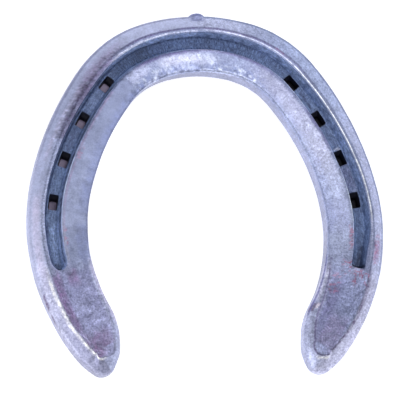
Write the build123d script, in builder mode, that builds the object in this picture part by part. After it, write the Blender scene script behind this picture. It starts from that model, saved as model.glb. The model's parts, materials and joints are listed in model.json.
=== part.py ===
from build123d import *
from math import cos, radians, sin
import os

# Fullered front horseshoe, one forging of flat steel bar, in millimetres.
# The shoe lies on its foot surface (z = 0) with the ground surface up, the toe points to +Y and
# the open heels to -Y. The origin is under the middle of the overall width and length.

# --- Bar ---
thickness = 8.0
wall_height = 5.4           # upright outer edge, from the foot surface to the bevel
bevel_width = 3.6           # bevelled rim of the ground surface, across the bar
foot_round = 0.7            # worn lower edge, all round the outline
inner_slope = 0.9           # the inside edge leans back by this much at the ground surface

# --- Outline of the right-hand branch: tangent arcs (radius, clockwise turn in degrees) ---
toe_y = 65.17               # front of the toe
outer_arcs = [(71.0, 16.0), (45.0, 37.0), (116.0, 22.5), (74.0, 54.0), (27.0, 17.0)]
tip_arc = (4.3, 102.0)      # round end of the heel
inner_arcs = [(26.0, 49.5), (58.5, -42.5), (88.0, -24.5), (26.0, -38.0)]

# --- Crease, the groove for the nail heads: its centre line is a chain of tangent arcs too ---
crease_toe_y = 55.77
crease_arcs = [(54.0, 18.0), (38.0, 32.0), (107.0, 21.5), (62.0, 30.5)]
crease_width = 6.1          # at the ground surface
crease_depth = 4.5
crease_floor_width = 4.1

# --- Nail holes, punched through the crease floor ---
nails_per_branch = 4
first_nail = 38.9           # along the crease from the toe to the first hole
nail_spacing = 16.4
nail_offset = 0.25          # from the crease's centre line to the inner side
hole_entry = (5.6, 3.3)     # along the crease and across it, at the crease floor
hole_exit = (4.6, 2.6)      # at the foot surface
nail_lean = 0.4             # the exit is this much nearer the inner side than the entry

# --- Toe mark: a small lip of the bar at the centre of the toe ---
mark_width = 5.2
mark_reach = 1.0            # beyond the outline
mark_root = 0.2             # its ends meet the outline this far inside the front of the toe
mark_back = 2.0             # from the front of the toe to its point on the bevel
mark_height = 6.2


def along(heading):
    """Unit vector of a heading, in degrees from +X."""
    return Vector(cos(radians(heading)), sin(radians(heading)))


def to_right(heading):
    """Unit vector to the right of a heading, which is into the bar on the whole outline."""
    return along(heading - 90)


def follow(point, heading, arcs, inset=0.0):
    """Draw tangent arcs from a point, each moved to the right of the path by the inset.

    Positive turns are clockwise. Returns the last point and heading without that move.
    """
    for radius, turn in arcs:
        side = 1 if turn > 0 else -1
        JernArc(point + to_right(heading) * inset, along(heading), radius - side * inset, -turn)
        centre = point + to_right(heading) * side * radius
        heading -= turn
        point = centre - to_right(heading) * side * radius
    return point, heading


def draw_outline(rim_inset, inside_inset):
    """Draw the shoe's outline, with its outer and its inner edge moved into the bar."""
    rim_end, rim_heading = follow(Vector(0, toe_y), 0, outer_arcs, rim_inset)

    tip_radius, tip_turn = tip_arc
    inside_heading = rim_heading - tip_turn
    tip_centre = rim_end + to_right(rim_heading) * tip_radius
    inside_start = tip_centre - to_right(inside_heading) * tip_radius
    TangentArc(
        rim_end + to_right(rim_heading) * rim_inset,
        inside_start + to_right(inside_heading) * inside_inset,
        tangent=along(rim_heading),
    )

    toe_end, toe_heading = follow(inside_start, inside_heading, inner_arcs, inside_inset)
    toe_turn = toe_heading + 180
    toe_radius = toe_end.X / sin(radians(abs(toe_turn)))
    follow(toe_end, toe_heading, [(toe_radius, toe_turn)], inside_inset)
    mirror(about=Plane.YZ)


def draw_crease(half_width):
    """Draw the crease's edge at half its width from its centre line, with a round end."""
    follow(Vector(0, crease_toe_y), 0, crease_arcs, -half_width)
    cap_start = crease_end - to_right(crease_end_heading) * half_width
    JernArc(cap_start, along(crease_end_heading), half_width, -180)
    follow(Vector(0, crease_toe_y), 0, crease_arcs, half_width)
    mirror(about=Plane.YZ)


def nail_plane(side, distance, inset, height):
    """Level plane over a nail hole on one branch, its X axis along the crease."""
    point = crease_line.wire().position_at(distance, PositionMode.LENGTH)
    tangent = crease_line.wire().tangent_at(distance, PositionMode.LENGTH)
    centre = point + Vector(tangent.Y, -tangent.X) * inset
    return Plane(
        origin=(side * centre.X, centre.Y, height),
        x_dir=(side * tangent.X, tangent.Y, 0),
        z_dir=(0, 0, 1),
    )


# Centre line of the crease on the right-hand branch, from the toe to the centre of its round end
with BuildLine() as crease_line:
    crease_end, crease_end_heading = follow(Vector(0, crease_toe_y), 0, crease_arcs)

with BuildPart() as shoe_forging:
    # The bar bent to shape: an upright edge, and above it the bevelled rim
    with BuildSketch():
        with BuildLine():
            draw_outline(0, 0)
        make_face()
    extrude(amount=wall_height)
    for height, rim_inset, inside_inset in ((wall_height, 0, 0), (thickness, bevel_width, inner_slope)):
        with BuildSketch(Plane.XY.offset(height)):
            with BuildLine():
                draw_outline(rim_inset, inside_inset)
            make_face()
    loft(ruled=True)
    foot_edges = shoe_forging.faces().sort_by(Axis.Z)[0].edges()
    fillet(foot_edges, foot_round)

    # The crease runs through both branches and round the toe, narrower at its floor
    floor_height = thickness - crease_depth
    for height, width in ((thickness, crease_width), (floor_height, crease_floor_width)):
        with BuildSketch(Plane.XY.offset(height)):
            with BuildLine():
                draw_crease(width / 2)
            make_face()
    loft(ruled=True, mode=Mode.SUBTRACT)

    # Nail holes taper from the crease floor to the foot surface
    for side in (-1, 1):
        for nail in range(nails_per_branch):
            distance = first_nail + nail * nail_spacing
            with BuildSketch(nail_plane(side, distance, nail_offset, floor_height)):
                Rectangle(*hole_entry)
            with BuildSketch(nail_plane(side, distance, nail_offset + nail_lean, 0)):
                Rectangle(*hole_exit)
            loft(mode=Mode.SUBTRACT)

    # The mark at the toe is a low round lip on the upright edge, running back over the bevel
    with BuildSketch(Plane.XY.offset(foot_round)):
        with BuildLine():
            root_left = (-mark_width / 2, toe_y - mark_root)
            root_right = (mark_width / 2, toe_y - mark_root)
            ThreePointArc(root_left, (0, toe_y + mark_reach), root_right)
            Polyline(root_right, (0, toe_y - mark_back), root_left)
        make_face()
    extrude(amount=mark_height - foot_round)

os.makedirs("parts", exist_ok=True)
shoe_forging.part.label = "shoe_forging"
export_step(shoe_forging.part, "parts/shoe_forging.step")
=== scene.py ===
"""A fullered front horseshoe of forged and tumbled steel, lying ground side up on a white table.

The CAD forging is replaced by one closed mesh. Its grid follows the bar: every column runs from the
outline to the bar's spine, and every row follows the outline, so bevels and crease stay crisp.
"""
import json
import math

import bpy
import numpy as np
from mathutils import Matrix, Vector, kdtree, noise

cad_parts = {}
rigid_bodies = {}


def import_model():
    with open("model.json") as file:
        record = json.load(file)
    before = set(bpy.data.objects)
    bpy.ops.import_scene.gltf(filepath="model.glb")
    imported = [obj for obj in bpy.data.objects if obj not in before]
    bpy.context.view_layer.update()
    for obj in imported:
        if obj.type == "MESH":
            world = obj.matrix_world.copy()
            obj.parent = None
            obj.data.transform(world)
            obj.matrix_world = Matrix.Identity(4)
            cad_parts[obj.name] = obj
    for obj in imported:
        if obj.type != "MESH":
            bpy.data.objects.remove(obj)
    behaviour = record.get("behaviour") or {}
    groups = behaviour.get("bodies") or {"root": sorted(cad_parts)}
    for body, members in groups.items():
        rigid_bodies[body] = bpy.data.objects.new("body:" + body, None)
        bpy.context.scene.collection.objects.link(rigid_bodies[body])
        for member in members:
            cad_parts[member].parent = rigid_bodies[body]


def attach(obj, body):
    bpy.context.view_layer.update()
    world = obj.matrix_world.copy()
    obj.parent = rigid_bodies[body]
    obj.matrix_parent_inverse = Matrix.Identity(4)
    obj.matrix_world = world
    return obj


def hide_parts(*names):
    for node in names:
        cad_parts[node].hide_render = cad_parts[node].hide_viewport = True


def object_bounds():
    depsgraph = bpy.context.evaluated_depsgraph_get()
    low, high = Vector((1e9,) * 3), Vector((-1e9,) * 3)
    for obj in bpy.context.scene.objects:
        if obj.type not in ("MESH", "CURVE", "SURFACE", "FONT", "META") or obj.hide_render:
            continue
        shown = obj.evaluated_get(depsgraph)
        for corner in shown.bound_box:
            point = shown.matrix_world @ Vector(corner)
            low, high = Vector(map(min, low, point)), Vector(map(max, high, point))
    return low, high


for item in list(bpy.data.objects):
    bpy.data.objects.remove(item)
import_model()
cad_low, cad_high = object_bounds()

MM = 0.001
LEFT, RIGHT = -1, 1         # the branches, by the sign of x
NODE = "shoe_forging"

# --- The bar and its outline, as the forging is designed ---
THICKNESS = (cad_high.z - cad_low.z) / MM
MARK_REACH = 1.0
TOE_Y = cad_high.y / MM - MARK_REACH
OUTER_ARCS = [(71.0, 16.0), (45.0, 37.0), (116.0, 22.5), (74.0, 54.0), (27.0, 17.0)]
TIP_ARC = (4.3, 102.0)
INNER_ARCS = [(26.0, 49.5), (58.5, -42.5), (88.0, -24.5), (26.0, -38.0)]

# --- The spine: the crease's centre line, carried on into the heel ---
CREASE_TO_TOE = 9.4
CREASE_ARCS = [(54.0, 18.0), (38.0, 32.0), (107.0, 21.5), (62.0, 30.5)]
HEEL_ARC = (100.0, 20.0)

CREASE_DEPTH = 4.5
CREASE_FLOOR = THICKNESS - CREASE_DEPTH
CREASE_HALF = 3.05
WALL_RUN = 1.0              # how far each crease wall leans over its full depth
CREASE_END = 114.4          # along the spine from the toe

FIRST_NAIL = 38.9
NAIL_SPACING = 16.4
NAIL_OFFSET = 0.25
NAILS = 4

# --- Distances between points of the arcs, between columns, and round the heel's end ---
ARC_STEP = 0.1
STATION_STEP = 0.5
FAN_STEP = 0.55


# ------ plan geometry, in millimetres
def unit(degrees):
    """Unit vectors of headings in degrees from +X."""
    radians = np.radians(degrees)
    return np.stack([np.cos(radians), np.sin(radians)], -1)


def arc_chain(start, heading, arcs):
    """Points and headings along tangent arcs. Positive turns are clockwise."""
    points, headings = [np.array([start])], [np.array([heading], float)]
    point = np.array(start, float)
    for radius, turn in arcs:
        side = 1 if turn > 0 else -1
        count = max(2, round(radius * math.radians(abs(turn)) / ARC_STEP))
        angles = heading - turn * np.arange(1, count + 1) / count
        centre = point + unit(heading - 90) * side * radius
        arc = centre - unit(angles - 90) * side * radius
        points.append(arc)
        headings.append(angles)
        point, heading = arc[-1], heading - turn
    return np.vstack(points), np.concatenate(headings)


def lengths(points):
    """Distance along a line of points."""
    return np.r_[0, np.cumsum(np.linalg.norm(np.diff(points, axis=0), axis=1))]


def ramp(x, *pairs):
    """Smooth curve through (x, value) pairs that never swings past them, level at both ends."""
    xs, values = np.array(pairs, float).T
    steps = np.diff(values) / np.diff(xs)
    before, after = steps[:-1], steps[1:]
    total = np.where(before * after > 0, before + after, 1)
    slope = np.r_[0, np.where(before * after > 0, 2 * before * after / total, 0), 0]
    index = np.clip(np.searchsorted(xs, x, side="right") - 1, 0, len(xs) - 2)
    width = xs[index + 1] - xs[index]
    t = np.clip((x - xs[index]) / width, 0, 1)
    blend = t * t * (3 - 2 * t)
    bend = width * (slope[index] * t * (1 - t) ** 2 - slope[index + 1] * t * t * (1 - t))
    return values[index] * (1 - blend) + values[index + 1] * blend + bend


def smooth(low, high, x):
    """0 at low and 1 at high, smooth between them and level beyond. High may be the smaller."""
    t = np.clip((x - low) / (high - low), 0, 1)
    return t * t * (3 - 2 * t)


def wave(x, scale, seed):
    """Smooth noise between about -1 and 1 along a line."""
    return np.array([noise.fractal(Vector((v / scale, seed, 0.37)), 1.0, 2.0, 3) for v in x])


def outline():
    """The right half of the outline, from the toe's front round the heel to the toe's back."""
    outer, headings = arc_chain((0.0, TOE_Y), 0.0, OUTER_ARCS + [TIP_ARC] + INNER_ARCS)
    turn = headings[-1] + 180
    radius = outer[-1][0] / math.sin(math.radians(abs(turn)))
    last, last_headings = arc_chain(outer[-1], headings[-1], [(radius, turn)])
    return np.vstack([outer, last[1:]]), np.concatenate([headings, last_headings[1:]])


def hit(point, direction, line):
    """Index of the first point of a line that a ray from a point passes."""
    away = line - point
    across = away[:, 0] * direction[1] - away[:, 1] * direction[0]
    ahead = away @ direction
    crossing = np.nonzero((across[:-1] * across[1:] <= 0) & (ahead[:-1] > 0))[0]
    first = crossing[np.argmin(ahead[crossing])]
    share = across[first] / (across[first] - across[first + 1] + 1e-12)
    return first + share


def at(line, index):
    """Points of a line at fractional indices."""
    whole = np.clip(np.floor(index).astype(int), 0, len(line) - 2)
    share = (index - whole)[:, None]
    return line[whole] * (1 - share) + line[whole + 1] * share


def columns():
    """The right half's columns: outline points, their normals, spine points and stations."""
    edge, edge_headings = outline()
    spine, spine_headings = arc_chain((0.0, TOE_Y - CREASE_TO_TOE), 0.0, CREASE_ARCS + [HEEL_ARC])
    along = lengths(spine)
    count = round(along[-1] / STATION_STEP)
    stations = np.linspace(0, along[-1], count + 1)
    extra = np.arange(CREASE_END - 5, CREASE_END + 1.5, 0.25)
    stations = np.unique(np.round(np.r_[stations, extra], 3))
    stations = stations[np.r_[True, np.diff(stations) > 0.12]]
    index = np.interp(stations, along, np.arange(len(along)))
    centre = at(spine, index)
    heading = np.interp(index, np.arange(len(spine)), spine_headings)

    outward, inward = unit(heading + 90), unit(heading - 90)
    outer = np.array([hit(c, d, edge) for c, d in zip(centre, outward)])
    inner = np.array([hit(c, d, edge) for c, d in zip(centre, inward)])
    outer[0], inner[0] = 0, len(edge) - 1
    round_tip = lengths(edge)[int(inner[-1])] - lengths(edge)[int(outer[-1])]
    fan = np.linspace(outer[-1], inner[-1], round(round_tip / FAN_STEP) + 1)[1:-1]

    where = np.r_[outer, fan, inner[::-1]]
    return {
        "edge": at(edge, where),
        "heading": np.interp(where, np.arange(len(edge)), edge_headings),
        "spine": np.vstack([centre, np.repeat(centre[-1:], len(fan), 0), centre[::-1]]),
        "station": np.r_[stations, np.full(len(fan), stations[-1]), stations[::-1]],
        "share": np.r_[np.zeros(len(outer)), (fan - outer[-1]) / (inner[-1] - outer[-1]),
                       np.ones(len(inner))],
        "knot": np.r_[np.arange(len(outer)), np.full(len(fan), len(outer) - 1),
                      np.arange(len(inner))[::-1]],
    }


# ------ the section of the bar
# Segments of the section from under the spine, out to the outline, up and back to the spine:
# number of rows along each, and how far its middle bulges. Then the rows round each corner.
SEGMENTS = {"foot": (9, 0.0), "wall": (8, 0.06), "bevel": (8, 0.12), "flat": (14, 0.0),
            "groove": (8, -0.06), "floor": (4, 0.0)}
CORNER_ROWS = {"foot_edge": 4, "rim": 4, "ridge": 3, "lip": 3, "root": 3}
LEAST_HALF = 0.12           # half width that the crease's lines keep past its end
CORNER_REACH = 0.42         # a rounded corner takes at most this share of a segment


def by_zone(data, outer, tip, inner):
    """Per-column values: outer and inner ones by station, and tip ones between the two."""
    zone = data["share"]
    values = ramp(zone, *tip)
    values = np.where(zone == 0, outer, values)
    return np.where(zone == 1, inner, values)


def section(data, side):
    """Corners of every column's section, their rounding, its ray, crease depth and bevel width."""
    s = data["station"]
    seed = 3.1 + 5 * side
    reach = np.linalg.norm(data["spine"] - data["edge"], axis=1)
    ray = (data["spine"] - data["edge"]) / reach[:, None]
    slant = np.clip(np.sum(ray * unit(data["heading"] - 90), 1), 0.6, 1)
    zero = np.zeros(len(s))
    top = zero + THICKNESS

    # Bevel and upright edge
    if side < 0:
        heel_bevel = [(122, 4.4), (133, 4.4), (140, 4.55), (146, 4.75)]
        inner_bevel = [(118, 1.2), (128, 1.35), (137, 1.9), (146, 2.1)]
        tip_bevel = [(0, 4.75), (0.23, 5.75), (0.42, 6.0), (0.56, 5.3),
                     (0.66, 3.6), (0.8, 2.1), (1, 2.1)]
    else:
        heel_bevel = [(122, 4.3), (131, 4.15), (138, 4.4), (143, 4.6), (146, 4.9)]
        inner_bevel = [(118, 2.0), (128, 2.6), (138, 3.3), (146, 3.4)]
        tip_bevel = [(0, 4.9), (0.22, 5.8), (0.44, 6.2), (0.6, 4.4),
                     (0.72, 3.1), (0.84, 2.9), (1, 3.4)]
    bevel = by_zone(
        data,
        ramp(s, (0, 4.9), (20, 5.2), (40, 5.3), (60, 4.7), (80, 4.1), (100, 4.0), (112, 4.3),
             *heel_bevel),
        tip_bevel,
        ramp(s, (0, 0.5), (95, 0.5), (110, 0.8), *inner_bevel),
    )
    bevel = bevel * (1 + 0.03 * wave(s, 9.0, seed))
    near_branch = smooth(0.25, 0, data["share"]) + smooth(0.75, 1, data["share"])
    bevel = bevel * (1 + (1 / slant - 1) * near_branch)
    wall = by_zone(
        data,
        ramp(s, (0, 5.4), (146, 5.2)),
        [(0, 5.2), (0.45, 4.9), (1, 6.0)],
        ramp(s, (0, 7.5), (95, 7.5), (115, 7.1), (130, 6.5), (146, 6.0)),
    )
    wall = wall + 0.12 * wave(s, 14.0, seed + 1)

    # Crease: its half width on this side of the spine, its walls and its round or blunt end
    narrow = [(90, CREASE_HALF), (108, 2.75)] if side < 0 else [(98, CREASE_HALF), (110, 1.95)]
    half = np.where(data["share"] == 1, ramp(s, (0, 3.35), (20, 3.35), (36, CREASE_HALF)), ramp(s, *narrow))
    half = half * (1 + 0.02 * wave(s, 11.0, seed + 2))
    blunt, taper = (5.0, 3.0) if side > 0 else (2.2, 5.0)
    past = np.clip((s - (CREASE_END - taper)) / taper, 0, 1)
    cap = (1 - past ** blunt) ** (1 / blunt)
    half = np.where(s < CREASE_END, np.maximum(half * cap, LEAST_HALF),
                    np.minimum(LEAST_HALF + 0.6 * (s - CREASE_END), 0.04 * reach))
    run_out = np.clip((CREASE_END - s) / WALL_RUN, 0, 1)
    depth = CREASE_DEPTH * np.minimum(run_out, np.clip((half - LEAST_HALF) / WALL_RUN, 0, 1))
    depth = depth * (1 + 0.03 * wave(s, 7.0, seed + 3))
    depth[s >= CREASE_END] = 0
    run = np.where(depth > 0, WALL_RUN * depth / CREASE_DEPTH, half * 0.5)

    keys = [
        (reach, zero),
        (zero, zero),
        (zero, wall),
        (np.minimum(bevel, 0.95 * (reach - half)), top),
        (reach - half, top),
        (reach - half + run, top - depth),
        (reach, top - depth),
    ]
    corners = {
        "foot_edge": zero + 0.7,
        "rim": by_zone(data, zero + 0.8, [(0, 0.8), (1, 0.6)], ramp(s, (0, 0.35), (110, 0.35), (125, 0.6))),
        "ridge": by_zone(data, ramp(s, (0, 0.6), (100, 0.5), (120, 0.3), (146, 0.3)),
                         [(0, 0.3), (1, 0.4)], ramp(s, (0, 0.35), (110, 0.35), (125, 0.5))),
        "lip": by_zone(data, zero + 0.28, [(0, 0.2), (1, 0.2)], ramp(s, (0, 0.55), (25, 0.5), (40, 0.3))),
        "root": zero + 0.55,
    }
    return keys, corners, ray, depth, keys[3][0]


def crease_shift(s, side):
    """How much nearer the inner side the crease lies than the spine, by station and branch."""
    if side > 0:
        return 0 * s
    return ramp(s, (0, 0), (15, 0.05), (40, 0.5), (95, 0.45), (108, 0.6), (115, 0.8), (128, 0))


def edge_move(data, side):
    """How far the real, uneven outline runs outside the designed one, for every column."""
    s = data["station"]
    if side < 0:
        outer = ramp(s, (0, 0.1), (20, 0.1), (70, 0), (90, -0.25), (125, -0.3), (138, 0), (146, 0.15))
        inner = ramp(s, (0, 0.05), (20, 0.3), (45, 0.3), (95, 0.25), (110, 0.15), (122, 0.45), (146, 0.65))
        tip = [(0, 0.15), (0.3, 0.15), (0.6, 0.35), (0.8, 0.8), (1, 0.65)]
    else:
        outer = ramp(s, (0, 0.15), (20, 0.3), (55, 0.3), (80, 0.15), (115, 0.1), (128, -0.1), (146, 0))
        inner = ramp(s, (0, 0), (60, 0), (85, 0.1), (125, 0.15), (146, 0.8))
        tip = [(0, 0), (0.3, 0.15), (0.55, 0.7), (0.8, 1.1), (1, 0.8)]
    return by_zone(data, outer, tip, inner)


def sweep_rows(keys, corners, depth):
    """Rounded sections: distance from the outline and height for every column and row."""
    names = list(SEGMENTS)
    points = np.array([np.stack(k, -1) for k in keys])
    spans = np.linalg.norm(np.diff(points, axis=0), axis=2)
    cuts = [np.zeros(points.shape[1])]
    for k, name in enumerate(CORNER_ROWS):
        cuts.append(np.minimum(corners[name], CORNER_REACH * np.minimum(spans[k], spans[k + 1])))
    cuts.append(np.zeros(points.shape[1]))
    rows, kinds = [], []
    for k, name in enumerate(names):
        count, bulge = SEGMENTS[name]
        step = (points[k + 1] - points[k]) / np.maximum(spans[k], 1e-6)[:, None]
        first = points[k] + step * cuts[k][:, None]
        last = points[k + 1] - step * cuts[k + 1][:, None]
        normal = np.stack([-step[:, 1], step[:, 0]], -1)
        if name == "groove":
            normal = normal * (depth / CREASE_DEPTH)[:, None]
        for i in range(0 if k == 0 else 1, count + 1):
            t = i / count
            rows.append(first * (1 - t) + last * t + normal * bulge * 4 * t * (1 - t))
            kinds.append(name)
        if k + 1 < len(names):
            corner = list(CORNER_ROWS)[k]
            after = (points[k + 2] - points[k + 1]) / np.maximum(spans[k + 1], 1e-6)[:, None]
            end = points[k + 1] + after * cuts[k + 1][:, None]
            for i in range(1, CORNER_ROWS[corner] + 1):
                t = i / CORNER_ROWS[corner]
                rows.append(last * (1 - t) ** 2 + points[k + 1] * 2 * t * (1 - t) + end * t * t)
                kinds.append(corner)
    return np.array(rows).transpose(1, 0, 2), kinds


# ------ the grid of the whole shoe
KINDS = ("foot", "foot_edge", "wall", "rim", "bevel", "ridge", "flat", "lip", "groove", "root", "floor")
SIDE_KINDS = ("foot", "foot_edge", "wall")
PLATEAU_KINDS = ("flat", "lip", "groove", "root", "floor")
LEFT_KNOTS = 10000          # added to the left branch's spine points, to tell them from the right's


def side_grid(side):
    """One branch's columns, with the rounded section of each and what it was worked out from."""
    data = columns()
    keys, corners, ray, depth, bevel = section(data, side)
    profile, kinds = sweep_rows(keys, corners, depth)
    return data, profile, kinds, ray, depth, bevel


def every_row(values, count):
    """Per-column values repeated for every row."""
    return np.repeat(values[:, None], count, 1)


def whole_grid():
    """Both branches joined at the toe as one closed loop of columns."""
    parts = {side: side_grid(side) for side in (RIGHT, LEFT)}
    shared = (parts[RIGHT][1] + parts[LEFT][1]) / 2
    loops = []
    for side in (RIGHT, LEFT):
        data, profile, kinds, ray, depth, bevel = parts[side]
        own = ramp(data["station"], (0, 0), (9, 1))[:, None, None]
        profile = shared * (1 - own) + profile * own
        reach = np.linalg.norm(data["spine"] - data["edge"], axis=1)[:, None]
        inner = (data["share"] == 1)[:, None]
        from_spine = reach - profile[:, :, 0]
        # The crease's shift fades out from the spine to the outline, and the outline's move back
        hold = np.where(inner, smooth(9.0, 3.8, from_spine), smooth(0.92, 0.42, from_spine / reach))
        above = np.array([KINDS.index(k) >= KINDS.index("bevel") for k in kinds])
        shift = crease_shift(data["station"], side)[:, None] * hold * above
        profile[:, :, 0] += np.where(inner, -shift, shift)
        u = np.where(inner, 1, -1) * (reach - profile[:, :, 0])
        moved = profile[:, :, 0] - edge_move(data, side)[:, None] * smooth(0.25, 0.85, from_spine / reach)
        xy = data["edge"][:, None, :] + ray[:, None, :] * moved[:, :, None]
        xy[:, :, 0] *= side
        count = len(kinds)
        facts = {
            "station": every_row(data["station"], count),
            "share": every_row(data["share"], count),
            "depth": every_row(depth, count),
            "bevel": every_row(bevel, count),
            "inset": profile[:, :, 0],
            "u": u,
            "side": np.full(u.shape, float(side)),
        }
        points = np.concatenate([xy, profile[:, :, 1:]], 2)
        knots = data["knot"] if side > 0 else data["knot"] + LEFT_KNOTS * (data["knot"] > 0)
        if side < 0:
            points, knots = points[::-1][1:-1], knots[::-1][1:-1]
            facts = {k: v[::-1][1:-1] for k, v in facts.items()}
        loops.append((points, knots, facts))
    points = np.concatenate([loops[0][0], loops[1][0]])
    knots = np.concatenate([loops[0][1], loops[1][1]])
    facts = {k: np.concatenate([loops[0][2][k], loops[1][2][k]]) for k in loops[0][2]}
    facts["kind"] = np.repeat(np.array([KINDS.index(k) for k in kinds])[None], len(points), 0)
    return points, knots, facts


def weld(points, knots, facts):
    """Vertices and faces of the grid, with the rows that meet along the spine made one."""
    n_columns, n_rows = points.shape[:2]
    index = np.arange(n_columns * n_rows).reshape(n_columns, n_rows)
    for row in (0, n_rows - 1):
        first = {}
        for column, knot in enumerate(knots):
            index[column, row] = first.setdefault(knot, index[column, row])
    kept, remap = np.unique(index, return_inverse=True)
    remap = remap.reshape(index.shape)
    flat = points.reshape(-1, 3)
    sums = np.zeros((len(kept), 3))
    counts = np.zeros(len(kept))
    np.add.at(sums, remap.ravel(), flat)
    np.add.at(counts, remap.ravel(), 1)
    vertices = sums / counts[:, None]
    vertex_facts = {k: v.reshape(-1)[kept] for k, v in facts.items()}
    after = np.roll(remap, -1, 0)
    quads = np.stack([remap[:, :-1], remap[:, 1:], after[:, 1:], after[:, :-1]], -1).reshape(-1, 4)
    faces = []
    for quad in quads:
        corners = list(dict.fromkeys(quad.tolist()))
        if len(corners) > 2:
            faces.append(corners)
    return vertices, faces, vertex_facts


points, knots, facts = whole_grid()
vertices, faces, facts = weld(points, knots, facts)


# ------ relief: mark, dents, flakes
def noise_at(points, scale, seed, octaves=2):
    """Smooth noise between about -1 and 1 at points in millimetres."""
    offset = Vector((seed * 7.31, seed * 3.17, seed * 5.77))
    q = points / scale
    if octaves == 1:
        return np.array([noise.noise(Vector(p) + offset) for p in q])
    return np.array([noise.fractal(Vector(p) + offset, 0.9, 2.0, octaves) for p in q])


def is_kind(*names):
    """Which vertices lie on these parts of the section."""
    return np.isin(facts["kind"], [KINDS.index(n) for n in names])


def crinkle_share(inner):
    """How much of the heels' crinkled scale each vertex takes: less on the bevels."""
    return np.where(is_kind("bevel"), np.where(inner, 0.2, 0.6), 1.0)


MARK_HALF = 2.6             # half the toe mark's width
MARK_BACK = 2.2             # from the front of the toe to its point on the bevel
MARK_TOP = 6.3


def add_toe_mark(v):
    """Bulge the wall into the low lip at the centre of the toe, and say how much of it is where."""
    front = facts["share"] == 0
    across = np.clip(np.abs(v[:, 0]) / MARK_HALF, 0, 1)
    crown = (1 - across ** 2.4) ** 0.55
    wall = front & is_kind("wall", "rim", "foot_edge")
    lift = smooth(0.2, 1.3, v[:, 2]) * (1 - smooth(MARK_TOP - 0.8, MARK_TOP + 0.5, v[:, 2]))
    v[:, 1] += np.where(wall | (front & is_kind("bevel")), MARK_REACH * crown * lift, 0)
    back = smooth(-MARK_BACK, -0.4, v[:, 1] - TOE_Y + MARK_BACK * (1 - crown))
    level = MARK_TOP * crown + (THICKNESS - 2) * (1 - crown)
    rise = np.clip(level + 0.5 - v[:, 2], 0, 1.2) * back * crown
    v[:, 2] += np.where(front & is_kind("rim", "bevel"), rise * 0.6, 0)
    return crown * (v[:, 1] > TOE_Y - MARK_BACK) * front * is_kind("wall", "rim", "bevel")


def relief(v, mark):
    """How far each vertex moves along its normal, with the flakes and crinkles in that."""
    s = facts["station"]
    inner = facts["share"] >= 0.5
    on_top = is_kind("bevel", "ridge", "flat", "lip")
    move = 0.10 * noise_at(v, 17.0, 1) + 0.055 * noise_at(v, 4.5, 2) + 0.022 * noise_at(v, 1.3, 3)
    heel = smooth(112, 118, s) * on_top * crinkle_share(inner)
    crinkle = np.abs(noise_at(v, 1.5, 4)) + 0.6 * np.abs(noise_at(v, 0.8, 5))
    move += heel * 0.09 * (0.45 - crinkle)
    # The toe web's inner edge is flaked
    web_edge = inner * is_kind("flat", "ridge") * (1 - smooth(1.2, 3.4, facts["inset"]))
    web_edge = web_edge * (1 - smooth(34, 48, s))
    flakes = smooth(0.05, 0.45, noise_at(v, 2.6, 6)) * web_edge
    move -= 0.12 * flakes
    move[is_kind("foot")] *= 0.5
    return move * (1 - 0.5 * mark), flakes, crinkle


def normals_of(v):
    """Vertex normals, weighted by face area."""
    total = np.zeros_like(v)
    quads = np.array([f for f in faces if len(f) == 4])
    threes = np.array([f for f in faces if len(f) == 3])
    # Across the diagonals of a quad, and across two sides of a triangle
    for group, pair in ((quads, (0, 2, 1, 3)), (threes, (0, 1, 0, 2))):
        if len(group):
            a = v[group[:, pair[1]]] - v[group[:, pair[0]]]
            b = v[group[:, pair[3]]] - v[group[:, pair[2]]]
            n = np.cross(a, b)
            for corner in range(group.shape[1]):
                np.add.at(total, group[:, corner], n)
    return total / np.linalg.norm(total, axis=1)[:, None]


mark = add_toe_mark(vertices)
move, flakes, crinkle = relief(vertices, mark)
vertices += normals_of(vertices) * move[:, None]


# ------ nail holes
HOLE_ENTRY = (5.7, 3.3)     # along the crease and across it, at the crease floor
HOLE_EXIT = (3.6, 2.6)
HOLE_LEAN = 0.4             # the exit is this much nearer the inner side
HOLE_BACK = 0.9             # and this much nearer the heel
HOLE_FOLLOW = 1.1           # how much of the crease's shift a hole follows
RING = 28                   # points round each level of a punch


def nail_frames():
    """Centre, direction along the crease and direction to the inner side, for every hole."""
    spine, headings = arc_chain((0.0, TOE_Y - CREASE_TO_TOE), 0.0, CREASE_ARCS)
    along = lengths(spine)
    frames = []
    for side in (RIGHT, LEFT):
        for nail in range(NAILS):
            station = FIRST_NAIL + nail * NAIL_SPACING
            index = np.interp(station, along, np.arange(len(along)))
            heading = np.interp(index, np.arange(len(headings)), headings)
            forward, inward = unit(heading - np.array([0, 90]))
            offset = NAIL_OFFSET + HOLE_FOLLOW * float(crease_shift(np.array([station]), side)[0])
            centre = at(spine, np.array([index]))[0] + inward * offset
            flip = np.array([side, 1])
            frames.append((centre * flip, forward * flip, inward * flip, side, nail))
    return frames


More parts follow.
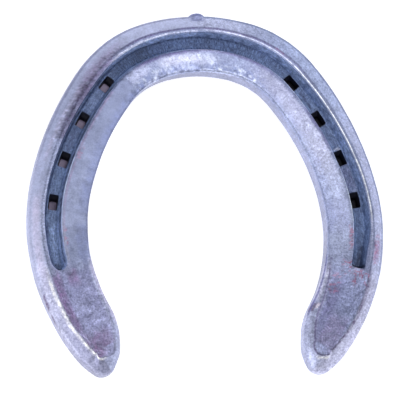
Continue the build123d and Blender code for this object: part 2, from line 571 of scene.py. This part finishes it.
def nail_cutter(centre, forward, inward, side, nail):
    """Rings of a tapered punch with rounded corners, from above the crease floor to under the foot."""
    seed = nail + 10 * side
    angles = 2 * math.pi * np.arange(RING) / RING
    rings = []
    # Height, share of the way from the entry to the exit, and flare
    for z, share, flare in (
        (CREASE_FLOOR + 1.6, 0, 0.3), (CREASE_FLOOR + 0.35, 0, 0.3), (CREASE_FLOOR, 0, 0.08),
        (CREASE_FLOOR - 0.35, 0.05, 0), (CREASE_FLOOR * 0.55, 0.5, 0),
        (1.0, 0.95, 0), (0.3, 1, 0), (-0.4, 1.05, 0.25),
    ):
        size = np.array(HOLE_ENTRY) * (1 - share) + np.array(HOLE_EXIT) * share + flare
        power = 2 / (9 - 4 * share)
        a = np.sign(np.cos(angles)) * np.abs(np.cos(angles)) ** power * size[0] / 2
        b = np.sign(np.sin(angles)) * np.abs(np.sin(angles)) ** power * size[1] / 2
        rough = 1 + 0.035 * np.array([
            noise.noise(Vector((math.cos(t) * 1.4, math.sin(t) * 1.4, seed + z * 0.4))) for t in angles
        ])
        place = (centre + np.outer(a * rough + HOLE_BACK * share, forward)
                 + np.outer(b * rough + HOLE_LEAN * share, inward))
        rings.append(np.column_stack([place, np.full(RING, z)]))
    return np.vstack(rings)


def add_object(name, data):
    """A new object in the scene."""
    thing = bpy.data.objects.new(name, data)
    bpy.context.collection.objects.link(thing)
    return thing


def make_mesh(name, points, polygons):
    """A mesh of points in millimetres."""
    made = bpy.data.meshes.new(name)
    made.from_pydata((points * MM).tolist(), [], polygons)
    made.update()
    return made


def cutter_mesh():
    """All the punches as one mesh of closed pieces."""
    points, polygons = [], []
    for hole_frame in nail_frames():
        ring_points = nail_cutter(*hole_frame)
        base = sum(len(p) for p in points)
        points.append(ring_points)
        levels = len(ring_points) // RING
        turn = hole_frame[3]
        for level in range(levels - 1):
            for k in range(RING):
                a, b = base + level * RING + k, base + level * RING + (k + 1) % RING
                polygons.append([a, b, b + RING, a + RING][::turn])
        polygons.append([base + k for k in range(RING)][::-turn])
        polygons.append([base + (levels - 1) * RING + k for k in range(RING)][::turn])
    return make_mesh("punches", np.vstack(points), polygons)


# ------ the cut mesh and its facts
def cut_holes(whole, tools):
    """The whole mesh less the tools, as a new mesh."""
    cut = whole.modifiers.new("nail_holes", "BOOLEAN")
    cut.object = tools
    cut.operation = "DIFFERENCE"
    cut.solver = "MANIFOLD"
    graph = bpy.context.evaluated_depsgraph_get()
    made = bpy.data.meshes.new_from_object(whole.evaluated_get(graph), depsgraph=graph)
    whole.modifiers.clear()
    return made


def points_of(made):
    """A mesh's points in millimetres."""
    flat = np.zeros(len(made.vertices) * 3, np.float32)
    made.vertices.foreach_get("co", flat)
    return flat.reshape(-1, 3).astype(float) / MM


def nearest(v, old):
    """For every point, the nearest old point and the distance to it."""
    tree = kdtree.KDTree(len(old))
    for index, point in enumerate(old):
        tree.insert(point, index)
    tree.balance()
    found = [tree.find(point) for point in v]
    return np.array([f[1] for f in found]), np.array([f[2] for f in found])


shoe = add_object("forged_shoe", make_mesh("forged_shoe", vertices, faces))
punches = add_object("punches", cutter_mesh())
shoe.data = cut_holes(shoe, punches)
bpy.data.objects.remove(punches)
shoe.data.polygons.foreach_set("use_smooth", [True] * len(shoe.data.polygons))
shoe.data.set_sharp_from_angle(angle=math.radians(40))

v = points_of(shoe.data)
source, gap = nearest(v, vertices)
facts = {k: a[source] for k, a in facts.items()}
mark, flakes, crinkle = mark[source], flakes[source], crinkle[source]
hole = (gap > 0.02) * smooth(CREASE_FLOOR + 0.3, CREASE_FLOOR - 0.2, v[:, 2])


# ------ finish of every spot of the steel
def linear(display):
    """Linear values of display colours from 0 to 255."""
    c = np.clip(np.asarray(display, float) / 255, 0, 1)
    return np.where(c <= 0.04045, c / 12.92, ((c + 0.055) / 1.055) ** 2.4)


def steel_tone(level, cool):
    """Linear colour of blueish steel from its lightness and how cold its blue is."""
    level, cool = np.broadcast_arrays(np.asarray(level, float), np.asarray(cool, float))
    return linear(np.stack([level, level + 5 + 5 * cool, level + 34 + 9 * cool], -1))


def blend_to(colours, colour, amount):
    """Colours moved towards one colour by an amount for every vertex."""
    amount = np.clip(amount, 0, 1)[:, None]
    return colours * (1 - amount) + np.asarray(colour) * amount


# Lightness along each part of the section, by station, on the left and the right branch
LEVELS = {
    "wall_outer": (((0, 145), (60, 135), (85, 170), (115, 175), (130, 190), (146, 165)),
                   ((0, 130), (45, 120), (95, 130), (120, 165), (146, 195))),
    "bevel": (((0, 180), (20, 180), (55, 160), (85, 175), (115, 190), (146, 140)),
              ((0, 180), (30, 160), (60, 170), (120, 175), (146, 195))),
    "strip": (((0, 140), (15, 130), (60, 140), (95, 180), (107, 160), (146, 215)),
              ((0, 135), (60, 135), (110, 130), (130, 165), (146, 175))),
    "crease_wall": (((0, 155), (25, 160), (45, 140), (90, 145), (107, 175)),
                    ((0, 135), (30, 145), (50, 130), (70, 140), (107, 110))),
    "floor": (((0, 95), (25, 80), (40, 100), (60, 95), (80, 115), (114, 135)),
              ((0, 90), (25, 105), (65, 125), (90, 110), (114, 110))),
    # the lips' brightest stretches are partly painted highlights on their rounded edges
    "lip_outer": (((0, 175), (27, 220), (36, 100), (75, 45), (100, 150), (114, 140)),
                  ((0, 160), (15, 175), (30, 170), (45, 120), (95, 120), (110, 100))),
    "lip_inner": (((0, 155), (20, 120), (60, 150), (75, 210), (95, 200), (120, 150)),
                  ((0, 220), (20, 185), (50, 210), (65, 175), (90, 230), (110, 165))),
    "beside": (((0, 105), (15, 90), (45, 95), (75, 150), (112, 165)),
               ((0, 160), (20, 110), (60, 125), (80, 150), (112, 160))),
    # the right branch's web is set lighter than the left's, partly as a painted reflection
    "web": (((0, 160), (35, 135), (60, 145), (95, 160), (107, 145), (146, 175)),
            ((0, 130), (20, 135), (45, 160), (72, 180), (107, 170), (130, 155), (146, 180))),
    "inner_edge": (((0, 170), (27, 205), (48, 140), (100, 140), (120, 175), (146, 165)),
                   ((0, 190), (15, 200), (25, 175), (66, 190), (85, 160), (130, 160), (146, 175))),
    "wall_inner": (((0, 155), (30, 140), (60, 150), (146, 155)),
                   ((0, 155), (50, 170), (100, 160), (120, 140), (146, 175))),
}

# Stains, scale, worn spots and other darker or lighter patches, with painted highlights, painted light and
# painted shade where marked: from and to along the spine, from and to across it (the outer side is negative),
# softness along and across, display colour, strength
LEFT_SPOTS = (
    # toe to quarter, outer strip
    (-2, 27, -4.7, -4.0, 3, 0.3, (110, 105, 145), 0.8),
    # painted highlight along the crease's outer lip at the toe
    (-2, 33, -3.5, -2.9, 2, 0.2, (215, 220, 245), 0.6),
    (31, 50, -6.3, -2.9, 4, 0.6, (105, 92, 125), 0.6),
    (44, 66, -5.3, -2.6, 3, 0.5, (90, 80, 110), 0.6),
    (26, 46, -7.6, -5.4, 4, 0.8, (155, 145, 180), 0.4),
    (46, 74, -6.6, -5.5, 3, 0.5, (195, 190, 220), 0.4),
    (27, 31, -5.4, -4.7, 0.6, 0.25, (110, 100, 135), 0.65),
    (88, 116, -7.2, -4.5, 4, 0.8, (215, 205, 230), 0.4),
    (121, 126, -8.3, -7.5, 1.0, 0.25, (90, 70, 105), 0.75),
    (128, 133, -8.2, -7.6, 1.0, 0.2, (90, 70, 105), 0.75),
    # crease
    (-3, 34, -2.1, -1.5, 3, 0.25, (30, 40, 65), 0.45),
    # painted shade on the crease's outer wall, which faces away from the light
    (34, 104, -2.2, -1.4, 2, 0.25, (40, 45, 80), 0.7),
    (43, 52, -0.8, 2.8, 1.5, 0.5, (120, 135, 175), 0.6),
    (59, 68, -0.8, 2.4, 1.5, 0.5, (100, 110, 150), 0.35),
    (17, 35, -1.8, 2.2, 3, 0.5, (65, 80, 110), 0.5),
    (96, 112, 0.4, 1.6, 2, 0.35, (160, 180, 220), 0.7),
    (96, 112, -1.8, -0.4, 2, 0.4, (70, 80, 120), 0.6),
    (38, 113, 3.0, 3.4, 2, 0.15, (45, 50, 85), 0.7),
    (111, 114.5, -0.6, 1.6, 0.6, 0.5, (25, 30, 60), 0.8),
    # web beside the crease
    (-2, 27, 3.7, 5.0, 3, 0.4, (90, 85, 130), 0.7),
    (42, 102, 4.0, 4.7, 3, 0.25, (150, 125, 160), 0.4),
    (97, 112, 4.0, 4.6, 3, 0.2, (195, 195, 220), 0.6),
    # web
    # painted highlight on the toe web
    (-3, 17, 5.2, 8.0, 3, 1.2, (220, 220, 240), 0.4),
    (-3, 22, 9.0, 11.6, 2, 0.8, (160, 170, 210), 0.5),
    (23, 33, 4.6, 8.0, 2, 1.0, (205, 210, 240), 0.4),
    (28, 40, 10.3, 11.3, 1.5, 0.4, (105, 115, 160), 0.6),
    (36, 92, 9.4, 12.6, 6, 1.5, (135, 145, 190), 0.5),
    (98, 113, 8.4, 12.4, 3, 1.0, (120, 130, 180), 0.3),
    # heel
    (115, 121, 2.2, 5.8, 1.5, 1.0, (140, 105, 150), 0.5),
    (115, 138, -3.4, -0.2, 3, 0.9, (130, 100, 145), 0.55),
    (140, 149, -3.0, 7.0, 2.5, 1.5, (130, 100, 140), 0.55),
    (126, 139, 1.5, 8.6, 3, 1.5, (170, 175, 215), 0.3),
    (113, 116, 6.5, 8.8, 1.5, 0.8, (185, 195, 225), 0.35),
    (113, 147, 11.0, 12.8, 2, 0.3, (195, 190, 215), 0.5),
)
RIGHT_SPOTS = (
    # outer strip
    (-2, 30, -4.6, -4.1, 3, 0.2, (120, 110, 150), 0.7),
    # this row and the next two: painted highlight along the crease's outer lip
    (4, 37, -3.9, -3.5, 3, 0.12, (215, 220, 250), 0.7),
    (36, 97, -3.9, -3.6, 3, 0.1, (245, 250, 255), 0.9),
    (96, 112, -3.9, -3.3, 3, 0.25, (190, 195, 225), 0.4),
    (16, 42, -4.8, -4.3, 3, 0.15, (110, 110, 150), 0.6),
    (27, 31, -4.7, -4.1, 0.6, 0.2, (130, 100, 135), 0.6),
    (103, 111, -6.6, -4.6, 1.5, 0.5, (160, 130, 170), 0.5),
    (104, 106, -5.2, -4.4, 0.5, 0.2, (80, 70, 100), 0.75),
    (82, 86, -8.4, -7.4, 0.8, 0.4, (120, 130, 165), 0.5),
    (17, 20, -5.1, -4.7, 0.4, 0.2, (100, 100, 140), 0.6),
    # crease
    (-3, 20, -2.1, -1.5, 3, 0.25, (30, 40, 65), 0.45),
    (74, 85, -1.6, 2.2, 1.2, 0.5, (130, 130, 165), 0.5),
    (58, 68, -1.6, 2.2, 1.2, 0.5, (110, 125, 165), 0.35),
    # this row and the next two: painted light at the lit toe-side edges of the nail holes
    (68, 69, -1.3, 1.2, 0.25, 0.2, (215, 220, 240), 0.85),
    (84.5, 85.5, -1.2, 0.6, 0.25, 0.2, (170, 180, 215), 0.7),
    (52, 53, -1.2, 0.6, 0.25, 0.2, (150, 160, 200), 0.6),
    (44, 50, -0.3, 0.7, 0.8, 0.3, (60, 65, 100), 0.55),
    (104, 114, -1.6, 0.4, 2, 0.4, (50, 60, 90), 0.6),
    (112.5, 114.5, -2.2, 2.2, 0.4, 0.3, (25, 30, 55), 0.85),
    # web beside the crease
    (-2, 30, 2.4, 4.4, 3, 0.4, (100, 95, 140), 0.6),
    (50, 66, 2.4, 4.0, 2, 0.3, (110, 105, 150), 0.6),
    # web
    # painted highlight on the toe web
    (-3, 7, 5.2, 9.0, 2.5, 1.2, (225, 230, 250), 0.3),
    (28, 100, 9.6, 12.6, 5, 1.4, (150, 160, 200), 0.45),
    (88, 100, 5.0, 12.4, 3, 1.0, (160, 165, 205), 0.3),
    # heel
    (122, 147, 4.6, 8.6, 3, 1.2, (120, 115, 160), 0.5),
    (134, 148, -1.5, 5.0, 3, 1.0, (145, 125, 165), 0.4),
    (116, 131, 10.4, 12.6, 2, 0.3, (205, 205, 230), 0.5),
    (133, 136, 10.9, 12.6, 0.5, 0.3, (95, 80, 105), 0.8),
    (133, 134.5, 10.0, 10.8, 0.3, 0.2, (225, 215, 230), 0.7),
    (112.5, 114, 10.0, 11.0, 0.5, 0.3, (110, 105, 145), 0.6),
)

# Rust-red edges of scale, as thin loops inside an area: branch, along, across, strength
RED_LOOPS = (
    (LEFT, 66, 73, 4.0, 5.6, 0.6),
    (LEFT, 97, 106, 4.0, 5.4, 0.5),
    (RIGHT, 98, 107, 3.2, 4.6, 0.8),
    (RIGHT, 111.5, 118, 2.6, 6.2, 0.8),
    (RIGHT, 115.0, 120, -4.2, 1.6, 0.8),
    (RIGHT, 119.5, 126, 5.6, 9.0, 0.7),
    (RIGHT, 101, 112, -6.6, -4.6, 0.5),
)


def tone_of(name, cool):
    """Colour of one part of the section at every vertex's station."""
    left_levels, right_levels = LEVELS[name]
    return steel_tone(np.where(right, ramp(s, *right_levels), ramp(s, *left_levels)), cool)


def inside(x, low, high, soft):
    """1 between low and high, falling to 0 over a soft edge."""
    return smooth(low - soft, low + soft, x) * smooth(high + soft, high - soft, x)


# Display colours of what is painted over the tones
PAINTED_HIGHLIGHT = (250, 250, 255)
DARK_LINE = (92, 80, 112)
DULL_LINE = (110, 100, 145)
RIM_SHADE = (105, 105, 155)
SCALE_RED = (176, 112, 140)
FLAKE_BRIGHT = (232, 240, 255)
FLAKE_DARK = (112, 124, 170)
FLAKE_FLOOR = (124, 134, 176)
HOLE_SHADE = (20, 18, 30)
MARK_BLUE = (116, 122, 170)

# What the finish is worked out from, for every vertex
s, u, share = facts["station"], facts["u"], facts["share"]
past_ridge = facts["inset"] - facts["bevel"]
right = facts["side"] > 0
outer, inner = share < 0.5, share >= 0.5
in_crease = facts["depth"] > 0.3
groove = is_kind("groove", "root", "floor") & in_crease
heel = smooth(110, 120, s)
coarse, middle, fine = noise_at(v, 9.0, 11, 3), noise_at(v, 3.0, 13, 2), noise_at(v, 1.1, 12, 2)
s_rough, u_rough = s + 1.4 * middle + 0.8 * fine, u + 0.25 * middle + 0.16 * fine


def paint(colours, display, amount):
    """Colours moved towards one display colour by an amount for every vertex."""
    return blend_to(colours, linear(display), amount)


def base_colour():
    """Colour from the lightness along each part of the section."""
    heel_side = smooth(95, 140, s)
    # the right web is painted less blue: partly frosting, partly a painted reflection of light from the right
    right_frost_and_sheen = right * inside(s, 24, 76, 8)
    web_cool = 0.6 - 0.3 * heel * ~right + 0.2 * heel * right - 0.8 * right_frost_and_sheen
    wall_cool = 1.2 * right * (1 - heel_side) - 0.6 * heel_side
    bevel_cool = 0.3 + 0.9 * right * inside(s, 20, 60, 10) - 0.9 * heel
    colour = tone_of("web", web_cool)
    for name, where, cool in (
        ("wall_outer", outer & is_kind(*SIDE_KINDS, "rim"), wall_cool),
        ("bevel", outer & is_kind("bevel"), bevel_cool),
        ("strip", outer & is_kind("ridge", "flat"), 0.6 - 0.2 * heel),
        ("lip_outer", outer & is_kind("lip") & in_crease, 1.6),
        ("lip_inner", inner & is_kind("lip") & in_crease, 1.6),
        ("crease_wall", is_kind("groove") & in_crease, 2.8),
        ("floor", is_kind("root", "floor") & in_crease, 2.8),
        ("inner_edge", inner & is_kind("rim", "bevel", "ridge"), 0.6 - 0.5 * heel),
        ("wall_inner", inner & is_kind(*SIDE_KINDS), 0),
    ):
        colour = np.where(where[:, None], tone_of(name, cool), colour)
    beside = (inner & is_kind("flat")) * smooth(4.7, 3.9, u_rough) * smooth(120, 112, s)
    colour = blend_to(colour, tone_of("beside", 0.6), beside)
    plateau = smooth(113, 118, s) * (outer & is_kind(*PLATEAU_KINDS))
    colour = blend_to(colour, tone_of("web", 0.3 + 0.5 * right), plateau)
    plum = np.where(right[:, None], (0.02, 0, 0.07), (0.03, -0.02, 0.08))
    return colour * (1 + (heel * is_kind(*PLATEAU_KINDS))[:, None] * plum)


def add_spots(colour):
    """Paint the spots, among them painted highlights, painted light and painted shade, and the red edges of
    scale. The spots fade down the walls.
    """
    down_wall = np.where(is_kind(*SIDE_KINDS), smooth(2.5, 5.5, v[:, 2]), 1)
    spots = [(LEFT, *spot) for spot in LEFT_SPOTS] + [(RIGHT, *spot) for spot in RIGHT_SPOTS]
    for branch, s0, s1, u0, u1, soft_s, soft_u, display, strength in spots:
        across = u + 0.04 * middle if soft_u < 0.2 else u_rough
        spot = inside(s_rough, s0, s1, soft_s) * inside(across, u0, u1, soft_u)
        spot *= facts["side"] == branch
        if s0 > 112 and -5 < u0 < 8:
            spot *= smooth(-0.2, 0.3, past_ridge)
        spot *= down_wall
        colour = paint(colour, display, spot * strength * (1 + 0.6 * fine))
    thread = smooth(0.16, 0.05, np.abs(noise_at(v, 2.2, 15, 2) + 0.1))
    for branch, s0, s1, u0, u1, strength in RED_LOOPS:
        spot = inside(s_rough, s0, s1, 1.0) * inside(u_rough, u0, u1, 0.4)
        colour = paint(colour, SCALE_RED, spot * (facts["side"] == branch) * thread * strength)
    return colour


def add_heel_lines(colour):
    """Paint the bright painted highlights and the dark lines where the heels' bevels meet their plateaus."""
    from_ridge = past_ridge + 0.15 * middle
    line = (share < 0.62) * inside(from_ridge, -0.65 - 0.5 * inside(s, 117, 136, 4), 0.1, 0.25) * heel
    # on the left heel the bright line is a painted highlight along the rounded edge
    colour = paint(colour, PAINTED_HIGHLIGHT, line * ~right * (0.7 + 0.6 * fine))
    colour = paint(colour, DARK_LINE, line * right * (share == 0) * (0.6 + 0.7 * fine))
    rest = (share > np.where(right, 0, 0.55)) * inside(past_ridge, -0.15, 0.3, 0.2) * heel
    colour = paint(colour, DULL_LINE, (0.3 + 0.5 * right) * rest)
    # a painted highlight just under the end of the right heel's plateau
    below = inside(share, 0.3, 0.62, 0.06) * inside(from_ridge, -1.3, -0.4, 0.25)
    colour = paint(colour, PAINTED_HIGHLIGHT, 0.85 * below * right)
    dark_rim = inner * is_kind("rim") * inside(s, 111, 138, 2)
    return paint(colour, RIM_SHADE, (0.45 + 0.25 * right) * dark_rim)


def add_flakes(colour):
    """Paint the flaked web round the toe."""
    scale = noise_at(v, 1.3, 17, 2) + 0.4 * middle
    flaked = inner * inside(s, 4, 32, 3) * inside(u, 7.8, 11.2, 0.7)
    colour = paint(colour, FLAKE_BRIGHT, flaked * smooth(0.05, 0.45, scale) * 0.35)
    colour = paint(colour, FLAKE_DARK, flaked * smooth(-0.1, -0.35, scale) * 0.4)
    return paint(colour, FLAKE_FLOOR, 0.4 * flakes)


def mottle(colour):
    """Vary the lightness, most on the heels and on the left branch's dark scale."""
    scaled = heel * is_kind(*PLATEAU_KINDS, "ridge", "bevel") * crinkle_share(inner)
    light = 1 + 0.10 * coarse + 0.13 * middle + 0.13 * fine + scaled * (0.24 * (0.42 - crinkle) + 0.15 * fine)
    scale_strips = inside(u, -6.8, -3.2, 0.6) + 0.7 * inside(u, 3.4, 5.2, 0.4)
    dark_scale = inside(s, 28, 70, 4) * scale_strips * ~right
    light = light + dark_scale * 0.7 * noise_at(v, 0.8, 16, 1)
    return colour * np.clip(light, 0.3, 1.6)[:, None]


def frosting():
    """How frosted the web, the heels and the crease are."""
    frost = inner * is_kind("flat", "ridge") * (0.5 + 0.5 * smooth(-0.3, 0.4, middle))
    toe_and_right = np.where(right, smooth(104, 70, s), 0.5 * smooth(34, 20, s))
    frost = frost * toe_and_right + 0.5 * heel * ~is_kind("wall")
    return frost + (0.9 - 0.3 * right) * groove * smooth(28, 38, s)


def finish_of_steel():
    """Colour, roughness, metal share, streaks and grain of every vertex."""
    colour = mottle(add_flakes(add_heel_lines(add_spots(base_colour()))))
    # painted shade: the nail holes' walls are coloured near-black
    colour = paint(colour, HOLE_SHADE, 0.97 * hole)
    colour = paint(colour, MARK_BLUE, 0.65 * mark)
    frost = frosting()
    rough = 0.42 + 0.12 * groove + 0.05 * middle - 0.06 * frost
    metal = np.where(groove, 0.25, 0.85)
    toe_floor = is_kind("floor", "root") * smooth(36, 30, s)
    detail = np.column_stack([groove * (1 - 0.7 * toe_floor), groove * toe_floor, frost])
    detail = detail * (1 - hole)[:, None]
    calm = outer & is_kind("wall", "rim", "bevel") | inner & (s > 34)
    calm = ~right * calm * smooth(135, 95, s)
    grain = (1 - 0.55 * calm) * (1 - hole)
    return np.clip(colour, 0, 1), rough, metal, detail, grain


def write_attribute(name, kind, field, values):
    """Store one value for every vertex of the shoe, for the material to read."""
    layer = shoe.data.attributes.new(name, kind, "POINT")
    layer.data.foreach_set(field, np.ascontiguousarray(values, np.float32).ravel())


INNER_SHIFT = 30            # keep the streaks of the two sides and of the two branches apart
BRANCH_SHIFT = 50
colour, rough, metal, detail, grain = finish_of_steel()
opaque = np.ones(len(v))
write_attribute("steel_colour", "FLOAT_COLOR", "color", np.column_stack([colour, opaque]))
write_attribute("steel_detail", "FLOAT_COLOR", "color", np.column_stack([detail, opaque]))
along_bar = np.column_stack([s, facts["inset"] + INNER_SHIFT * inner, BRANCH_SHIFT * facts["side"]])
write_attribute("steel_place", "FLOAT_VECTOR", "vector", along_bar)
for key, values in (("steel_rough", rough), ("steel_metal", metal), ("steel_grain", grain)):
    write_attribute(key, "FLOAT", "value", values)


# ------ materials
def new_material(name):
    """A node material emptied of its default nodes, and its output node."""
    material = bpy.data.materials.new(name)
    material.use_nodes = True
    material.node_tree.nodes.clear()
    return material, material.node_tree, material.node_tree.nodes.new("ShaderNodeOutputMaterial")


def attribute(tree, name):
    """A node that reads one of the shoe's attributes."""
    node = tree.nodes.new("ShaderNodeAttribute")
    node.attribute_name = name
    return node


def noise_node(tree, vector, scale, detail, stretch=None):
    """Noise over a vector, which may be stretched first."""
    if stretch:
        mapping = tree.nodes.new("ShaderNodeMapping")
        mapping.inputs["Scale"].default_value = stretch
        tree.links.new(vector, mapping.inputs["Vector"])
        vector = mapping.outputs["Vector"]
    node = tree.nodes.new("ShaderNodeTexNoise")
    node.inputs["Scale"].default_value = scale
    node.inputs["Detail"].default_value = detail
    node.inputs["Roughness"].default_value = 0.65
    tree.links.new(vector, node.inputs["Vector"])
    return node.outputs["Fac"]


def ramp_node(tree, factor, low, high):
    """Colours from low to high, each a position and a colour."""
    node = tree.nodes.new("ShaderNodeValToRGB")
    for element, (position, shade) in zip(node.color_ramp.elements, (low, high)):
        element.position = position
        element.color = (*shade, 1)
    tree.links.new(factor, node.inputs["Fac"])
    return node.outputs["Color"]


def generated_ramp(tree, axis, low, high):
    """Colours from low to high along one axis of the generated coordinates."""
    place = tree.nodes.new("ShaderNodeTexCoord")
    axes = tree.nodes.new("ShaderNodeSeparateXYZ")
    tree.links.new(place.outputs["Generated"], axes.inputs["Vector"])
    return ramp_node(tree, axes.outputs[axis], low, high)


def multiplied(tree, a, b, factor):
    """One colour times another, by a factor."""
    node = tree.nodes.new("ShaderNodeMix")
    node.data_type = "RGBA"
    node.blend_type = "MULTIPLY"
    tree.links.new(factor, node.inputs["Factor"])
    tree.links.new(a, node.inputs["A"])
    tree.links.new(b, node.inputs["B"])
    return node.outputs["Result"]


def forged_steel():
    """Forged steel: grain and frosting, drawn streaks in the crease, and the relief of both."""
    material, tree, out = new_material("forged_steel")
    link = tree.links.new
    shader = tree.nodes.new("ShaderNodeBsdfPrincipled")
    place = tree.nodes.new("ShaderNodeTexCoord").outputs["Object"]
    bar = attribute(tree, "steel_place").outputs["Vector"]
    grain = noise_node(tree, place, 1500, 4)
    blotch = noise_node(tree, place, 420, 3)
    speckle = noise_node(tree, place, 1150, 3)
    streaks = noise_node(tree, bar, 1.0, 4, (0.45, 2.2, 1))
    crossed = noise_node(tree, bar, 1.0, 3, (2.6, 0.5, 1))
    amount = attribute(tree, "steel_grain").outputs["Fac"]
    detail = tree.nodes.new("ShaderNodeSeparateColor")
    link(attribute(tree, "steel_detail").outputs["Color"], detail.inputs["Color"])
    along, over, frosted = detail.outputs["Red"], detail.outputs["Green"], detail.outputs["Blue"]

    colour = attribute(tree, "steel_colour").outputs["Color"]
    for pattern, factor, low, high in (
        (grain, amount, (0.32, (0.62, 0.62, 0.66)), (0.68, (1.32, 1.32, 1.28))),
        (blotch, amount, (0.30, (0.86, 0.85, 0.88)), (0.70, (1.12, 1.12, 1.10))),
        (streaks, along, (0.34, (0.52, 0.54, 0.58)), (0.66, (1.50, 1.50, 1.45))),
        (crossed, over, (0.36, (0.45, 0.47, 0.52)), (0.64, (1.65, 1.65, 1.60))),
        (speckle, frosted, (0.34, (0.76, 0.75, 0.80)), (0.64, (1.30, 1.31, 1.25))),
    ):
        colour = multiplied(tree, colour, ramp_node(tree, pattern, low, high), factor)
    link(colour, shader.inputs["Base Color"])
    link(attribute(tree, "steel_metal").outputs["Fac"], shader.inputs["Metallic"])

    gloss = tree.nodes.new("ShaderNodeMapRange")
    gloss.inputs["To Min"].default_value = -0.13
    gloss.inputs["To Max"].default_value = 0.13
    link(grain, gloss.inputs["Value"])
    rough = tree.nodes.new("ShaderNodeMath")
    rough.operation = "ADD"
    link(gloss.outputs["Result"], rough.inputs[0])
    link(attribute(tree, "steel_rough").outputs["Fac"], rough.inputs[1])
    link(rough.outputs["Value"], shader.inputs["Roughness"])

    normal = None
    for height, strength, depth in (
        (grain, amount, 0.00003), (streaks, along, 0.0001), (crossed, over, 0.0001),
    ):
        bump_node = tree.nodes.new("ShaderNodeBump")
        bump_node.inputs["Distance"].default_value = depth
        link(height, bump_node.inputs["Height"])
        link(strength, bump_node.inputs["Strength"])
        if normal:
            link(normal, bump_node.inputs["Normal"])
        normal = bump_node.outputs["Normal"]
    link(normal, shader.inputs["Normal"])
    link(shader.outputs["BSDF"], out.inputs["Surface"])
    return material


def white_table():
    """The white table, which glows a little so that it stays white."""
    material, tree, out = new_material("white_table")
    shader = tree.nodes.new("ShaderNodeBsdfPrincipled")
    shader.inputs["Base Color"].default_value = (0.9, 0.9, 0.9, 1)
    shader.inputs["Roughness"].default_value = 0.8
    shader.inputs["Emission Color"].default_value = (1, 1, 1, 1)
    shader.inputs["Emission Strength"].default_value = 0.55
    tree.links.new(shader.outputs["BSDF"], out.inputs["Surface"])
    return material


shoe.data.materials.clear()
shoe.data.materials.append(forged_steel())
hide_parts(NODE)
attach(shoe, "root")


# ------ table, light and camera
def plane(name, size, z, material):
    """A square sheet of the stage."""
    h = size / 2
    corners = np.array([(-h, -h, z), (h, -h, z), (h, h, z), (-h, h, z)])
    thing = add_object(name, make_mesh(name, corners, [(0, 1, 2, 3)]))
    thing.data.materials.append(material)


TABLE_SIZE = 6000
TABLE_DROP = 0.02           # the table and the shaded sheet lie this far under the foot surface
GAP_DROP = 0.01
GAP_INSET = 1.6             # from the outline into the bar
plane("table", TABLE_SIZE, -TABLE_DROP, white_table())


def painted_shade_sheet():
    """A sheet of painted shade: the table right under the bar as seen through the nail holes, brownish under
    the left branch and near-black under the right.
    """
    material, tree, out = new_material("shaded_table")
    link = tree.links.new
    shader = tree.nodes.new("ShaderNodeBsdfPrincipled")
    shader.inputs["Roughness"].default_value = 0.9
    under_left, under_right = (0.45, (0.63, 0.53, 0.74)), (0.55, (0.02, 0.02, 0.03))
    link(generated_ramp(tree, "X", under_left, under_right), shader.inputs["Base Color"])
    link(shader.outputs["BSDF"], out.inputs["Surface"])
    half = columns()
    edge = half["edge"] + GAP_INSET * unit(half["heading"] - 90)
    loop = np.vstack([edge, (edge * np.array([-1, 1]))[::-1][1:-1]])
    corners = np.column_stack([loop, np.full(len(loop), -GAP_DROP)])
    face = list(range(len(loop)))[::-1]
    thing = add_object("shaded_table", make_mesh("shaded_table", corners, [face]))
    thing.data.materials.append(material)


painted_shade_sheet()


def area_light(name, place, target, size, power):
    """A round lamp that faces a target."""
    data = bpy.data.lights.new(name, "AREA")
    data.shape = "DISK"
    data.size = size
    data.energy = power
    thing = add_object(name, data)
    thing.location = place
    aim = Vector(target) - Vector(place)
    thing.rotation_mode = "QUATERNION"
    thing.rotation_quaternion = aim.to_track_quat("-Z", "Y")


world = bpy.data.worlds.new("room")
bpy.context.scene.world = world
world.use_nodes = True
room = world.node_tree
horizon, overhead = (0.45, (0.95, 0.96, 1.0)), (0.95, (0.20, 0.205, 0.22))
background = room.nodes["Background"]
room.links.new(generated_ramp(room, "Z", horizon, overhead), background.inputs["Color"])
background.inputs["Strength"].default_value = 1.2
area_light("toe_lamp", (0.065, 0.125, 0.30), (0.0, 0.05, 0), 0.12, 0.17)
area_light("left_window", (-0.55, -0.45, 0.5), (0, 0, 0), 0.5, 1.2)

CAMERA_SIDE = Vector((-0.212, -0.216, 1)).normalized()
CAMERA_TURN = -1.58         # degrees
VIEW_WIDTH = 0.1442         # metres
VIEW_CENTRE = Vector((-0.85, -1.73, 0)) * MM
camera_data = bpy.data.cameras.new("camera")
camera_data.lens = 400
camera_data.sensor_width = 36
camera_data.clip_start = 0.05
camera_data.clip_end = 20
camera = add_object("camera", camera_data)
distance = VIEW_WIDTH * camera_data.lens / camera_data.sensor_width
tilt = Vector((0, 0, 1)).rotation_difference(CAMERA_SIDE).to_matrix()
turn = tilt @ Matrix.Rotation(math.radians(CAMERA_TURN), 3, "Z")
camera.rotation_mode = "QUATERNION"
camera.rotation_quaternion = turn.to_quaternion()
camera.location = VIEW_CENTRE + CAMERA_SIDE * distance
bpy.context.scene.camera = camera
bpy.context.scene.view_settings.view_transform = "Standard"
